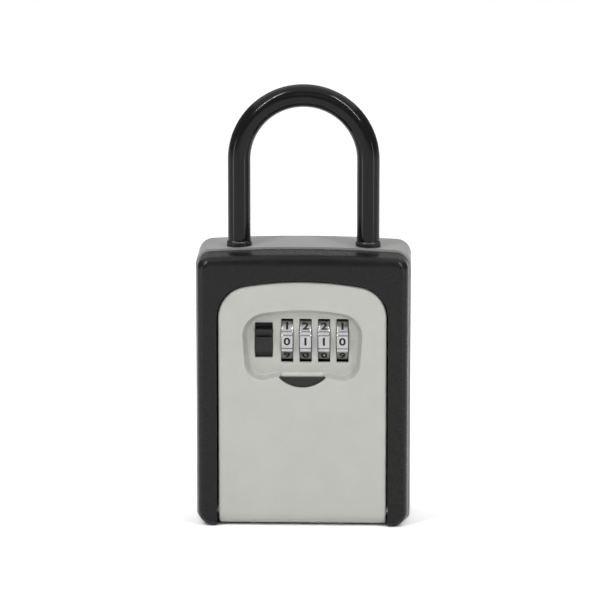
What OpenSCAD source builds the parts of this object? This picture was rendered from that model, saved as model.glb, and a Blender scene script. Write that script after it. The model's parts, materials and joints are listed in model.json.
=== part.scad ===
// Key lock box: a cast case that hangs from a sleeved shackle, with a drop-down door that carries
// a four-dial combination lock. +Z is up, the door faces -Y, and the origin is under the middle.
// Every size is in millimetres.

/* [Case] */
// Width of the case
case_w = 85; // [84:0.5:88]
// Depth from the front of the bezel to the back of the case
case_d = 40; // [40:0.5:44]
// Height of the case
case_h = 111; // [111:0.5:114]
// Thickness of the case walls
wall = 3; // [2.5:0.1:3.2]
// Depth of the black bezel, front to back
bezel_d = 13; // [12.8:0.1:13.2]

/* [Shackle] */
// Width across the outside of the shackle
shackle_w = 60; // [58:0.5:61]
// Thickness of the sleeved bar
bar_d = 9; // [9:0.1:9.4]
// Clear height between the case and the inside of the shackle
clearance = 55; // [40:1:80]

/* [Door] */
// Width of the door panel
door_w = 66.6; // [66:0.1:67]
// Height of the top of the door above the base
door_top = 99.4; // [99.3:0.1:99.6]
// Gap between the door and the bezel
door_gap = 0.5; // [0.4:0.05:0.6]

/* [Dials] */
// Spacing of the number dials
dial_pitch = 7.28; // [7.24:0.01:7.32]
// Width across the corners of a ten-sided dial
dial_d = 21; // [20.6:0.1:21]
// Axial travel of the code sleeves when the code is changed
sleeve_travel = 1; // [0.95:0.01:1.02]

/* [Wall screws] */
// Diameter of the four wall-screw holes
wall_hole_d = 4.8; // [4:0.1:5.5]
// Spacing of the wall-screw holes across the case
wall_hole_dx = 46; // [40:1:50]
// Spacing of the wall-screw holes up the case
wall_hole_dz = 60; // [50:1:64]

/* [Hidden] */

$fn = 48;
eps = 0.01;
big = 60;

// case and bezel
front = -case_d / 2;
back = case_d / 2;
case_front = front + bezel_d;
case_r = 6;
case_crown = 640;
cavity_top = case_h - 4;
bezel_inset = 0.9;
bezel_top = case_h - 0.8;
bezel_wall = 2.2;
bezel_face = 2.4;
bezel_r = 3.6;
back_r = 4;

// hinge
pin_r = 1.5;
pin_y = -14;
pin_z = 6;
barrel_r = 5.4;
lug_x = [door_w / 2 + 0.9, case_w / 2 - 3.3];

// door
door_front = pin_y - barrel_r;
door_inner = door_front + 2.4;
door_back = pin_y + barrel_r;
recess_floor = door_front + 3.8;
recess_back = recess_floor + 1.8;

// shackle
leg_x = shackle_w / 2 - bar_d / 2;
leg_y = -1.5;
bore_top = case_h + clearance + bar_d;
arch_z = bore_top - shackle_w / 2;
rod_r = bar_d / 2 - 0.52;
leg_end = 98.6;
collar_top = case_h + 1.2;
notch_x = -leg_x + 2;
notch_z = [102.4, 105.3];

// shackle housing
house_z = [97, 105.4];
house_y = [-6.5, 15];
house_screw = [12, 8];

// dials
dial_n = 4;
dial_z = 75;
dial_y = recess_floor + 8.2;
dial_t = 4.5;
dial_x0 = -6.1;
axle_r = 1.5;
sleeve_r = 3.9;
flange_r = 6.2;
flange_t = 0.8;
flange_x = dial_t / 2 + 0.4;
gate_half = 1.1;
gate_floor = 4.2;
key_half = 0.6;

// mechanism frame behind the dials
frame_x = 23.9;
frame_z = [61.5, 94.8];
frame_y = [recess_back + 0.1, 4.4];
frame_wall = 1.8;
part_x = [-11.3, -10];
cover_t = 1.5;
ear_x = 26.2;
ear_z = [66, 87.5];
ear_r = 2.8;

// release slider and latch
slide_x = -15.3;
slot_w = 6.95;
slot_z = [68.1, 82.2];
plate_y = [dial_y - 0.8, dial_y + 0.8];
bar_z = [87.8, 90.8];
nose_top = 99.4;
finger_tip = dial_z + flange_r + 0.3;

// reset lever
lever_x = -14.54;
throw = sleeve_travel;

function dial_x(i) = dial_x0 + i * dial_pitch;

function arc(cx, cz, r, a0, a1, n) =
    [for (i = [0:n]) [cx + r * cos(a0 + (a1 - a0) * i / n), cz + r * sin(a0 + (a1 - a0) * i / n)]];

// Upright outline with a crowned top: rt and rb are its corner radii, rc the crown's, g grows it.
function arch_pts(half, top, rt, rc, bottom, rb, g = 0) =
    let (
        xc = half - rt,
        zc = top - rc + sqrt((rc - rt) * (rc - rt) - xc * xc),
        lean = asin(xc / (rc - rt)),
        r_low = max(rb + g, 0.8),
        xb = half + g - r_low,
        zb = bottom - g + r_low
    )
    concat(
        arc(xb, zb, r_low, -90, 0, 8),
        arc(xc, zc, rt + g, 0, 90 - lean, 12),
        [for (p = arc(0, top - rc, rc + g, 90 - lean, 90 + lean, 16)) if (abs(p[0]) < xc - 0.5) p],
        arc(-xc, zc, rt + g, 90 + lean, 180, 12),
        arc(-xb, zb, r_low, 180, 270, 8)
    );

function case_pts(g) = arch_pts(case_w / 2, case_h, case_r, case_crown, 0, 3, g);
function bezel_pts(g) = arch_pts(case_w / 2 - bezel_inset, bezel_top, 5, 560, 0, 6, g);
function door_pts(g, bottom) =
    let (p = arch_pts(door_w / 2, door_top, 12.8, 130, -20, 1, g))
    concat([[door_w / 2 + g, bottom]], [for (q = p) if (q[1] > 20) q], [[-door_w / 2 - g, bottom]]);

// Lock recess: crowned top, sides that narrow downwards and a soft lobe at each lower corner.
recess_edge = 60.7;
function dip(x) =
    abs(x) < 9.3 ? recess_edge : recess_edge - 0.6 * (1 - cos(180 * (abs(x) - 9.3) / 6.2));
function recess_pts(g) =
    let (
        rt = 9.5, rc = 95, top = 87.9, half = 23.6, xc = half - rt,
        zc = top - rc + sqrt((rc - rt) * (rc - rt) - xc * xc),
        lean = asin(xc / (rc - rt))
    )
    concat(
        [for (x = [-14:2:14]) [x, dip(x) - g]],
        arc(15.5, 66.8, 7.3 + g, -90, 0, 6),
        arc(xc, zc, rt + g, 0, 90 - lean, 7),
        [for (p = arc(0, top - rc, rc + g, 90 - lean, 90 + lean, 10)) if (abs(p[0]) < xc - 0.5) p],
        arc(-xc, zc, rt + g, 90 + lean, 180, 7),
        arc(-15.5, 66.8, 7.3 + g, 180, 270, 6)
    );

// Half-moon below the recess: a straight top edge over a shallow arc.
moon_r = 12.9;
moon_drop = 3.9;
function moon_pts(g) =
    let (half = asin((moon_r - moon_drop) / moon_r))
    arc(0, recess_edge - moon_drop + moon_r, moon_r + g, 180 + half, 360 - half, 16);

// Solids placed by their ranges, with outlines drawn in X and Z or in Y and Z.
module block(x, y, z) translate([x[0], y[0], z[0]]) cube([x[1] - x[0], y[1] - y[0], z[1] - z[0]]);
module slab(y) translate([0, y[1], 0]) rotate([90, 0, 0]) linear_extrude(y[1] - y[0]) children();
module beam(x) translate([x[0], 0, 0]) rotate([90, 0, 90]) linear_extrude(x[1] - x[0]) children();
module xcyl(r, x, y, z) translate([x[0], y, z]) rotate([0, 90, 0]) cylinder(h = x[1] - x[0], r = r);
module ycyl(r, x, y, z) translate([x, y[1], z]) rotate([90, 0, 0]) cylinder(h = y[1] - y[0], r = r);
module zcyl(r, x, y, z) translate([x, y, z[0]]) cylinder(h = z[1] - z[0], r = r);
// Tapered plates that, hulled, round an edge of radius r: towards +Y from y for dir 1, -Y for dir -1.
module rounding(kind, r, y, dir) for (a = [0:18:90])
    translate([0, y + dir * r * sin(a), case_h / 2]) scale([1, dir, 1]) rotate([90, 0, 0])
        linear_extrude(2, scale = 0.8) translate([0, -case_h / 2])
            polygon(kind == "case" ? case_pts(r * cos(a) - r) : bezel_pts(r * cos(a) - r));
module both() { children(); mirror([1, 0, 0]) children(); }

// Bent bar of radius r that follows the shackle down to z0.
module shackle_path(r, z0) {
    for (s = [-1, 1]) zcyl(r, s * leg_x, leg_y, [z0, arch_z]);
    translate([0, leg_y, arch_z]) rotate([90, 0, 0])
        rotate_extrude(angle = 180) translate([leg_x, 0]) circle(r);
}

// Screw along Y with its head towards +Y, the head's seat at y[1].
module screw_y(x, y, z, r = 1.2, head = 2.2, thick = 1.3) {
    ycyl(r, x, y, z);
    difference() {
        ycyl(head, x, [y[1], y[1] + thick], z);
        block([x - head, x + head], [y[1] + thick - 0.6, y[1] + 2], [z - 0.3, z + 0.3]);
    }
}

// Coil along +Z from the origin: wire rings joined by a short bar.
module coil(r, wire, len, turns) {
    for (i = [0:turns - 1])
        translate([0, 0, wire + i * (len - 2 * wire) / (turns - 1)])
            rotate_extrude($fn = 24) translate([r - wire, 0]) circle(wire, $fn = 16);
    translate([r - wire, 0, wire]) cylinder(h = len - 2 * wire, r = wire * 0.8, $fn = 16);
}

bezel_screw_at = [[35, 102, 3.2], [36.8, 14, 2.8]];

module rear_case() color("gray") difference() {
    union() {
        difference() {
            hull() {
                slab([case_front, case_front + 1]) polygon(case_pts(0));
                rounding("case", back_r, back - back_r, 1);
            }
            slab([case_front - 1, back - wall])
                polygon(arch_pts(case_w / 2 - wall, cavity_top, 4, 900, wall, 2));
        }
        both() {
            block([31.2, 40], [case_front, case_front + 3], [97.8, cavity_top + 1]);
            block([door_w / 2 + 0.6, 40], [case_front, case_front + 3], [11, 17]);
            block([lug_x[0], 40], [case_front, 0], [pin_z - 3.4, pin_z + 3.4]);
            block([-eps, door_w / 2 - 0.3], [pin_y + barrel_r - 0.5, case_front + 1], [0, wall]);
            block(lug_x, [pin_y, case_front + 1], [pin_z - 3.4, pin_z + 3.4]);
            xcyl(3.4, lug_x, pin_y, pin_z);
        }
    }
    for (s = [-1, 1]) {
        zcyl(bar_d / 2 + 0.5, s * leg_x, leg_y, [cavity_top - 1, case_h + 2]);
        zcyl(1.22, s * house_screw[0], house_screw[1], [cavity_top - 1, case_h - 1.5]);
        xcyl(pin_r + 0.02, s < 0 ? [-lug_x[1] - 0.5, -lug_x[0] + 1] : [lug_x[0] - 1, lug_x[1] + 0.5],
            pin_y, pin_z);
        for (p = bezel_screw_at) ycyl(1.35, s * p[0], [case_front - 1, case_front + 4], p[1]);
        for (t = [-1, 1])
            ycyl(wall_hole_d / 2, s * wall_hole_dx / 2, [back - wall - 1, back + 1],
                case_h / 2 + t * wall_hole_dz / 2);
    }
}

module front_bezel() color([0.16, 0.16, 0.15]) difference() {
    hull() {
        slab([case_front - 1, case_front]) polygon(bezel_pts(0));
        rounding("bezel", bezel_r, front + bezel_r, -1);
    }
    slab([front - 1, case_front + 1]) polygon(door_pts(door_gap, -5));
    difference() {
        slab([front + bezel_face, case_front + 1]) polygon(bezel_pts(-bezel_wall));
        slab([front, case_front + 2]) polygon(door_pts(door_gap + 2, -5));
        for (s = [-1, 1], p = bezel_screw_at) ycyl(p[2], s * p[0], [front, case_front], p[1]);
    }
    both() block([door_w / 2 - 1, lug_x[1] + 0.2], [front + 2.1, case_front + 1],
        [pin_z - 3.8, pin_z + 3.8]);
    block([-9, 9], [front + 9, case_front + 1], [door_top - 2, cavity_top]);
    for (s = [-1, 1], p = bezel_screw_at) ycyl(1.22, s * p[0], [front + 4.5, case_front + 1], p[1]);
}

module bezel_screws() color("silver")
    for (s = [-1, 1], p = bezel_screw_at) screw_y(s * p[0], [front + 5, case_front + 3], p[1]);

module hinge_pin() color("silver") xcyl(pin_r, [-lug_x[1] + 0.4, lug_x[1] - 0.4], pin_y, pin_z);

module shackle_collars() color([0.1, 0.1, 0.1]) for (s = [-1, 1]) difference() {
    zcyl(bar_d / 2 + 0.45, s * leg_x, leg_y, [cavity_top + 0.1, collar_top]);
    zcyl(rod_r + 0.08, s * leg_x, leg_y, [cavity_top - 1, collar_top + 1]);
}

module shackle_housing() color([0.13, 0.13, 0.13]) difference() {
    block([-leg_x - 5, leg_x + 5], house_y, house_z);
    for (s = [-1, 1]) {
        zcyl(rod_r + 0.1, s * leg_x, leg_y, [house_z[0] + 1, house_z[1] + 1]);
        zcyl(1.35, s * house_screw[0], house_screw[1], [house_z[0] - 1, house_z[1] + 1]);
        zcyl(2.5, s * house_screw[0], house_screw[1], [house_z[0] - 1, house_z[0] + 1.6]);
    }
    block([notch_x - 0.6, 10.3], [leg_y - 3.2, leg_y + 3.2], [notch_z[0], house_z[1] + 1]);
    block([-2.3, 10.3], [leg_y, 13.8], [notch_z[0], house_z[1] + 1]);
    block([10, 18.4], [leg_y - 2, leg_y + 2], [notch_z[0] - 0.4, house_z[1] + 1]);
    block([-1.4, 9.4], [9.3, 13.7], [house_z[0] - 1, notch_z[1]]);
}

module housing_screws() color("silver") for (s = [-1, 1]) {
    zcyl(1.2, s * house_screw[0], house_screw[1], [house_z[0] + 1.5, case_h - 1.8]);
    difference() {
        zcyl(2.2, s * house_screw[0], house_screw[1], [house_z[0] + 0.2, house_z[0] + 1.5]);
        block([s * house_screw[0] - 3, s * house_screw[0] + 3],
            [house_screw[1] - 0.3, house_screw[1] + 0.3], [house_z[0], house_z[0] + 0.8]);
    }
}

module latch_keeper() color("lightsteelblue") difference() {
    union() {
        block([-17, 17], [-10.4, 11], [house_z[1] + 0.15, cavity_top - 0.3]);
        block([-8, 8], [-10.4, -9], [nose_top + 0.55, cavity_top - 0.3]);
    }
    for (s = [-1, 1]) zcyl(1.35, s * house_screw[0], house_screw[1], [house_z[1] - 1, cavity_top + 1]);
}

module shackle_rod() color("silver") difference() {
    shackle_path(rod_r, leg_end);
    block([notch_x - bar_d / 2 + 2.5, 0], [leg_y - bar_d, leg_y + bar_d], notch_z);
}

module shackle_sleeve() color([0.12, 0.12, 0.12]) difference() {
    shackle_path(bar_d / 2, collar_top + 0.2);
    shackle_path(rod_r + 0.02, collar_top - 1);
}

module shackle_bolt() color("lightsteelblue") {
    block([notch_x + 4.2, 10], [leg_y - 3, leg_y + 3], [notch_z[0] + 0.2, notch_z[1] - 0.1]);
    block([2, 10], [leg_y + 3 - eps, 13.5], [notch_z[0] + 0.2, notch_z[1] - 0.1]);
}

module release_button() color([0.1, 0.1, 0.1]) {
    block([3, 9], [9.6, 13.4], [95.5, notch_z[0] + 0.18]);
    block([2, 10], [9.6, 13.4], [92.5, 95.5 + eps]);
}

module bolt_spring() color("silver")
    translate([10.05, leg_y, notch_z[0] + 1.35]) rotate([0, 90, 0]) coil(1.65, 0.25, 8.2, 6);

module door_panel() color([0.75, 0.75, 0.73]) difference() {
    union() {
        difference() {
            intersection() {
                beam([-door_w / 2, door_w / 2]) polygon(concat(
                    [[door_back, door_top + 5], [door_front, door_top + 5]],
                    arc(pin_y, pin_z, barrel_r, 180, 360, 16)));
                slab([front - 1, 0]) polygon(door_pts(0, -5));
            }
            slab([door_inner, door_back + 1]) polygon(door_pts(-2, pin_z + 6.4));
            block([-27, 27], [door_inner, door_back + 1], [pin_z, pin_z + 7]);
            xcyl(barrel_r - 1.8, [-27, 27], pin_y, pin_z);
        }
        slab([door_inner - eps, recess_back]) polygon(recess_pts(2.2));
        slab([door_inner - eps, recess_floor + 0.6]) polygon(moon_pts(1.6));
        for (s = [-1, 1], z = ear_z) ycyl(ear_r, s * ear_x, [door_inner - eps, recess_back], z);
    }
    slab([front - 1, recess_floor]) polygon(recess_pts(0));
    slab([front - 1, recess_floor - 1]) polygon(moon_pts(0));
    for (i = [0:dial_n - 1])
        block([dial_x(i) - 2.375, dial_x(i) + 2.375], [front, recess_back + 1],
            [dial_z - 8.75, dial_z + 8.75]);
    block([slide_x - slot_w / 2, slide_x + slot_w / 2], [front, recess_back + 1], slot_z);
    for (s = [-1, 1], z = ear_z) ycyl(1.22, s * ear_x, [door_inner + 0.8, 0], z);
    xcyl(pin_r + 0.05, [-big, big], pin_y, pin_z);
}

module finger_pull() color([0.2, 0.2, 0.18])
    slab([door_front + 0.7, recess_floor - 1.05]) polygon(moon_pts(-0.05));

module frame_ears(y) for (s = [-1, 1], z = ear_z)
    block(s < 0 ? [-ear_x - ear_r, -frame_x + 0.5] : [frame_x - 0.5, ear_x + ear_r], y,
        [z - ear_r, z + ear_r]);

module mechanism_frame() color([0.15, 0.15, 0.16]) difference() {
    union() {
        difference() {
            block([-frame_x, frame_x], frame_y, frame_z);
            block([-frame_x + frame_wall, part_x[0]], [frame_y[0] - 1, frame_y[1] + 1],
                [frame_z[0] + frame_wall, frame_z[1] - 1.6]);
            block([part_x[1], frame_x - 3.2], [frame_y[0] - 1, frame_y[1] + 1],
                [frame_z[0] + frame_wall, frame_z[1] - 1.6]);
            block([part_x[0] - 1, part_x[1] + 1], [frame_y[0] - 1, frame_y[1] + 1],
                [dial_z + 10, frame_z[1] - 1.6]);
            block([part_x[0] - 1, part_x[1] + 1], [dial_y + 2.05, frame_y[1] + 1],
                [dial_z - 6, dial_z + 11]);
        }
        frame_ears(frame_y);
    }
    xcyl(axle_r + 0.02, [part_x[0] - 1, frame_x - 0.4], dial_y, dial_z);
    xcyl(4.4, [frame_x - 4, frame_x - 1.7], dial_y, dial_z);
    block([-4.4, 4.4], [plate_y[0] - 0.4, plate_y[1] + 0.4], [frame_z[1] - 3, frame_z[1] + 1]);
    for (s = [-1, 1], z = ear_z) ycyl(1.35, s * ear_x, [frame_y[0] - 1, frame_y[1] + 1], z);
}

module dial_axle() color("silver") xcyl(axle_r, [part_x[0] + 0.1, frame_x - 0.5], dial_y, dial_z);

module detent_spring() color("silver") {
    block([dial_x(0) - 2.4, dial_x(dial_n - 1) + 2.4], [dial_y + dial_d / 2 + 0.2, frame_y[1] - 0.05],
        [frame_z[0] + frame_wall + 0.1, 66]);
    for (i = [0:dial_n - 1])
        block([dial_x(i) - 2.1, dial_x(i) + 2.1],
            [dial_y + dial_d / 2 + 0.2, dial_y + dial_d / 2 + 0.6], [66 - eps, 77]);
}

module mechanism_cover() color("lightsteelblue") difference() {
    union() {
        block([-frame_x, frame_x], [frame_y[1] + 0.05, frame_y[1] + cover_t],
            [frame_z[0], frame_z[1] - 0.8]);
        frame_ears([frame_y[1] + 0.05, frame_y[1] + cover_t]);
    }
    for (s = [-1, 1], z = ear_z) ycyl(1.35, s * ear_x, [frame_y[1] - 1, frame_y[1] + 3], z);
    ycyl(3.05, lever_x, [frame_y[1] - 1, frame_y[1] + 3], dial_z);
}

module cover_screws() color("silver") for (s = [-1, 1], z = ear_z)
    screw_y(s * ear_x, [door_inner + 1.2, frame_y[1] + cover_t], z);

module sleeve_spring() color("silver")
    translate([dial_x(3) + flange_x + flange_t + 0.05, dial_y, dial_z]) rotate([0, 90, 0])
        coil(3.6, 0.35, 2.9, 3);

// Ten-sided dial with ten keyways at its left face and a clear bore behind them.
module dial(i) color("silver") translate([dial_x(i), dial_y, dial_z]) difference() {
    translate([-dial_t / 2, 0, 0]) rotate([0, 90, 0]) cylinder(h = dial_t, d = dial_d, $fn = 10);
    xcyl(sleeve_r + 0.1, [-dial_t, dial_t], 0, 0);
    xcyl(sleeve_r + 0.85, [-dial_t / 2 + 1.15, dial_t], 0, 0);
    for (k = [0:9]) rotate([36 * k, 0, 0])
        block([-dial_t, -dial_t / 2 + 1.2], [-key_half - 0.1, key_half + 0.1], [0, sleeve_r + 0.8]);
}
module dial_1() dial(0);
module dial_2() dial(1);
module dial_3() dial(2);
module dial_4() dial(3);

// Code sleeve: key rib inside the dial, then a flange beside it with one gate.
module cam(i) color("gold") translate([dial_x(i), dial_y, dial_z]) difference() {
    union() {
        xcyl(sleeve_r, [flange_x + flange_t + 0.03 - dial_pitch, flange_x + eps], 0, 0);
        xcyl(flange_r, [flange_x, flange_x + flange_t], 0, 0);
        block([-dial_t / 2 + 0.15, -dial_t / 2 + 1.1], [-key_half, key_half],
            [sleeve_r - 0.5, sleeve_r + 0.7]);
    }
    xcyl(axle_r + 0.05, [-10, 10], 0, 0);
    block([flange_x - 0.1, flange_x + 1], [-gate_half, gate_half], [gate_floor, flange_r + 1]);
}
module cam_1() cam(0);
module cam_2() cam(1);
module cam_3() cam(2);
module cam_4() cam(3);

module release_slider() color([0.1, 0.1, 0.1]) difference() {
    union() {
        block([slide_x - 3.3, slide_x + 3.3], [recess_floor - 0.6, recess_back + 0.3],
            [slot_z[0] + 2.25, slot_z[1] - 2.25]);
        block([slide_x - 3.3, slide_x + 3.3], [recess_floor - 3, recess_floor - 0.6 + eps],
            [slot_z[1] - 4.2, slot_z[1] - 2.25]);
        block([-21.5, -11.5], [recess_back + 0.2, recess_back + 1.2],
            [slot_z[0] - 0.8, slot_z[1] + 0.8]);
        block([slide_x - 3, slide_x + 3], [recess_back + 1.2 - eps, plate_y[0] - 0.05],
            [dial_z - 4, dial_z + 4]);
    }
    ycyl(1.02, slide_x, [recess_back + 1.5, plate_y[0] + 1], dial_z);
}

module latch_plate() color("lightsteelblue") slab(plate_y) difference() {
    union() {
        translate([-19.8, 70]) square([8, bar_z[1] - 70]);
        translate([-19.8, bar_z[0]])
            square([19.8 + dial_x(3) + flange_x + flange_t, bar_z[1] - bar_z[0]]);
        translate([-4, bar_z[0]]) square([8, nose_top - bar_z[0]]);
        for (i = [0:dial_n - 1])
            translate([dial_x(i) + flange_x, finger_tip])
                square([flange_t, bar_z[0] + 1 - finger_tip]);
    }
    translate([slide_x, dial_z]) circle(1.1);
}

module latch_screw() color("silver")
    screw_y(slide_x, [recess_back + 1.9, plate_y[1]], dial_z, r = 1, thick = 0.9);

module latch_spring() color("silver")
    translate([slide_x - 0.5, dial_y, frame_z[0] + frame_wall + 0.05]) coil(2.2, 0.25, 6.5, 6);

module reset_lever() color([0.12, 0.12, 0.12]) {
    ycyl(4.4, lever_x, [dial_y + 2.2, dial_y + 4.4], dial_z - throw);
    ycyl(3, lever_x, [dial_y + 4.4 - eps, frame_y[1] + cover_t + 1.7], dial_z);
    block([lever_x - 2, lever_x + 2], [frame_y[1] + cover_t + 0.2, frame_y[1] + cover_t + 1.7],
        [dial_z - 10, dial_z]);
    ycyl(2, lever_x, [frame_y[1] + cover_t + 0.2, frame_y[1] + cover_t + 3], dial_z - 10);
}

module lever_washer() color("silver") difference() {
    ycyl(5, lever_x, [frame_y[1] - 1.2, frame_y[1] - 0.2], dial_z);
    ycyl(3.02, lever_x, [frame_y[1] - 2, frame_y[1]], dial_z);
}

rear_case();
front_bezel();
bezel_screws();
hinge_pin();
shackle_collars();
shackle_housing();
housing_screws();
latch_keeper();
shackle_rod();
shackle_sleeve();
shackle_bolt();
release_button();
bolt_spring();
door_panel();
finger_pull();
mechanism_frame();
dial_axle();
detent_spring();
mechanism_cover();
cover_screws();
sleeve_spring();
dial_1();
dial_2();
dial_3();
dial_4();
cam_1();
cam_2();
cam_3();
cam_4();
release_slider();
latch_plate();
latch_screw();
latch_spring();
reset_lever();
lever_washer();
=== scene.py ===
import json
import math

import bmesh
import bpy
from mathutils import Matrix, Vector, geometry
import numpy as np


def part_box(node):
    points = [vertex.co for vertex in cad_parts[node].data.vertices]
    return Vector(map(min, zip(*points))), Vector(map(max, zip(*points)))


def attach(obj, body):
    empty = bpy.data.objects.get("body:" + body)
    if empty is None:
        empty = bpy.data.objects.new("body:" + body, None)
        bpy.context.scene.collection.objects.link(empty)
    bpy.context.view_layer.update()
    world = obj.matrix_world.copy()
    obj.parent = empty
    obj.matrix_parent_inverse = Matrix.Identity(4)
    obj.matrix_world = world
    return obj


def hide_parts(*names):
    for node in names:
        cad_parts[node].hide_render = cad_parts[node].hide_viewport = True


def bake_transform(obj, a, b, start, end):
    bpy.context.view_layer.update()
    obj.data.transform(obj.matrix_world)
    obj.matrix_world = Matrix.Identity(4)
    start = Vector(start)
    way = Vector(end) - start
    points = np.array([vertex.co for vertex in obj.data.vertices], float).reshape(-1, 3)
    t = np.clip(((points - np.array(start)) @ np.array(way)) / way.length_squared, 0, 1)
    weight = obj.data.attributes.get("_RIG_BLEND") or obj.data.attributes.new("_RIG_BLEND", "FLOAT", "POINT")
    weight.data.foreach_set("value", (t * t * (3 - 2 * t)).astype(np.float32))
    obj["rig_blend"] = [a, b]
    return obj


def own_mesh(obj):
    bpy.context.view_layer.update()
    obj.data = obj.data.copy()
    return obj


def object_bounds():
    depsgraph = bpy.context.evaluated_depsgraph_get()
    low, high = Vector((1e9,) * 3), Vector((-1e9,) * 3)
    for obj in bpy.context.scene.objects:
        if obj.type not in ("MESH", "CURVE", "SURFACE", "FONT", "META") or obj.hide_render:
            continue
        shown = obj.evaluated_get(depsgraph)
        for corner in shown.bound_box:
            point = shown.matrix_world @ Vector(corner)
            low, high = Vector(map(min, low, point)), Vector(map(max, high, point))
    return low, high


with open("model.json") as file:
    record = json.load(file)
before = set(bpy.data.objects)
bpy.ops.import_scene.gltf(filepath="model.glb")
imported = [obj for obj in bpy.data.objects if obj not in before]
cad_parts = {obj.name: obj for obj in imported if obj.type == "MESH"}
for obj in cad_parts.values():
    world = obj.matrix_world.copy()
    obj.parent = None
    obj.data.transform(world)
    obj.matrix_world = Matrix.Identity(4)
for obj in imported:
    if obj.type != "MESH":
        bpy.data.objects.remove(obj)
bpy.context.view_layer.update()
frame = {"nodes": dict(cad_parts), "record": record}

# Sizes are in millimetres until a mesh is made.
MM = 0.001
WELD = 0.002
RECORD = frame["record"]
BODY_OF = {n: b for b, ns in RECORD["behaviour"]["bodies"].items() for n in ns}
SLOT_OF = {s["node"]: s["material_slot"] for s in RECORD["subparts"]}


def node_box(node):
    low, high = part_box(node)
    return low / MM, high / MM


# ---------------------------------------------------------------- driving sizes, read from the frame
door_low, door_high = node_box("door_panel")
sleeve_low, sleeve_high = node_box("shackle_sleeve")
rod_low, rod_high = node_box("shackle_rod")
moon_low, moon_high = node_box("finger_pull")
slider_low, _ = node_box("release_slider")
dial_boxes = [node_box(f"dial_{i}") for i in (1, 2, 3, 4)]

DOOR_HALF = door_high.x
DOOR_FRONT = door_low.y
DOOR_BACK = door_high.y
BARREL_R = (DOOR_BACK - DOOR_FRONT) / 2
PIN_Y = (DOOR_BACK + DOOR_FRONT) / 2
PIN_Z = door_low.z + BARREL_R
DOOR_TOP = door_high.z
DOOR_CORNER, DOOR_CROWN = 12.8, 130.0
DOOR_EDGE = 1.1

DIAL_X = [(lo.x + hi.x) / 2 for lo, hi in dial_boxes]
dial_low, dial_high = dial_boxes[0]
FACETS = 10
DIAL_T = dial_high.x - dial_low.x
DIAL_Z = (dial_low.z + dial_high.z) / 2
DIAL_R = (dial_high.z - dial_low.z) / 2
APOTHEM = DIAL_R * math.cos(math.pi / FACETS)
HALF_FACET = DIAL_R * math.sin(math.pi / FACETS)
DIAL_Y = dial_low.y + APOTHEM

# the lock recess: how deep it is, how thick its floor is, and its outline
RECESS_DEPTH = 3.8
RECESS_BACK = 1.8
FLOOR_Y = DOOR_FRONT + RECESS_DEPTH
RECESS_EDGE = moon_high.z
RECESS_TOP, RECESS_HALF = 87.9, 23.6
RECESS_CORNER, RECESS_CROWN = 9.5, 95.0
LOBE_X, LOBE_Z, LOBE_R = 15.5, 66.8, 7.3
DIP_START, DIP_REACH, DIP = 9.3, 6.2, 0.6
CENTRE_Z = DIAL_Z - 1.5

MOON_R = 12.9
MOON_GAP = 0.05
MOON_CENTRE_Z = moon_low.z - MOON_GAP + MOON_R

# half width and half height of a dial window; centre and half sizes of the button's slot
WINDOW = (2.375, 8.75)
SLOT = (-15.3, 75.15, 3.475, 7.05)
OPENINGS = [(x, DIAL_Z, *WINDOW) for x in DIAL_X] + [SLOT]


# ---------------------------------------------------------------- mesh helpers
def finish_mesh(obj, smooth):
    """Smooth shading, with edges sharper than an angle in degrees kept sharp."""
    me = obj.data
    me.polygons.foreach_set("use_smooth", [True] * len(me.polygons))
    me.set_sharp_from_angle(angle=math.radians(smooth))


def make(name, verts, faces, body, slot, smooth=32.0, weld=WELD, stands_for=()):
    """A mesh piece from points in millimetres, riding on a body."""
    me = bpy.data.meshes.new(name)
    me.from_pydata([tuple(c * MM for c in v) for v in verts], [], faces)
    bm = bmesh.new()
    bm.from_mesh(me)
    if weld:
        bmesh.ops.remove_doubles(bm, verts=bm.verts, dist=weld * MM)
    bmesh.ops.recalc_face_normals(bm, faces=bm.faces)
    bm.to_mesh(me)
    bm.free()
    obj = bpy.data.objects.new(name, me)
    bpy.context.scene.collection.objects.link(obj)
    finish_mesh(obj, smooth)
    me.materials.append(MATERIALS[slot])
    if body:
        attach(obj, body)
    if stands_for:
        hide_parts(*stands_for)
    return obj


def packed_part(node, name, gone):
    """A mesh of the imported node's faces, less those that gone() picks."""
    bm = bmesh.new()
    bm.from_mesh(frame["nodes"][node].data)
    bmesh.ops.remove_doubles(bm, verts=bm.verts, dist=WELD * MM)
    bmesh.ops.delete(bm, geom=[f for f in bm.faces if gone(f)], context="FACES")
    part = bpy.data.meshes.new(name)
    bm.to_mesh(part)
    bm.free()
    return part


def append_mesh(obj, extra, smooth):
    """Adds another mesh's faces to a piece as they are."""
    whole = bmesh.new()
    whole.from_mesh(obj.data)
    whole.from_mesh(extra)
    whole.to_mesh(obj.data)
    whole.free()
    bpy.data.meshes.remove(extra)
    finish_mesh(obj, smooth)


def weighted(obj):
    m = obj.modifiers.new("weighted", "WEIGHTED_NORMAL")
    m.keep_sharp = True
    m.weight = 50
    return obj


def bevelled(obj, width, angle, segments):
    m = obj.modifiers.new("edges", "BEVEL")
    m.width = width * MM
    m.segments = segments
    m.limit_method = "ANGLE"
    m.angle_limit = math.radians(angle)
    m.use_clamp_overlap = True
    m.harden_normals = False
    m.miter_outer = "MITER_ARC"
    return weighted(obj)


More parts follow.
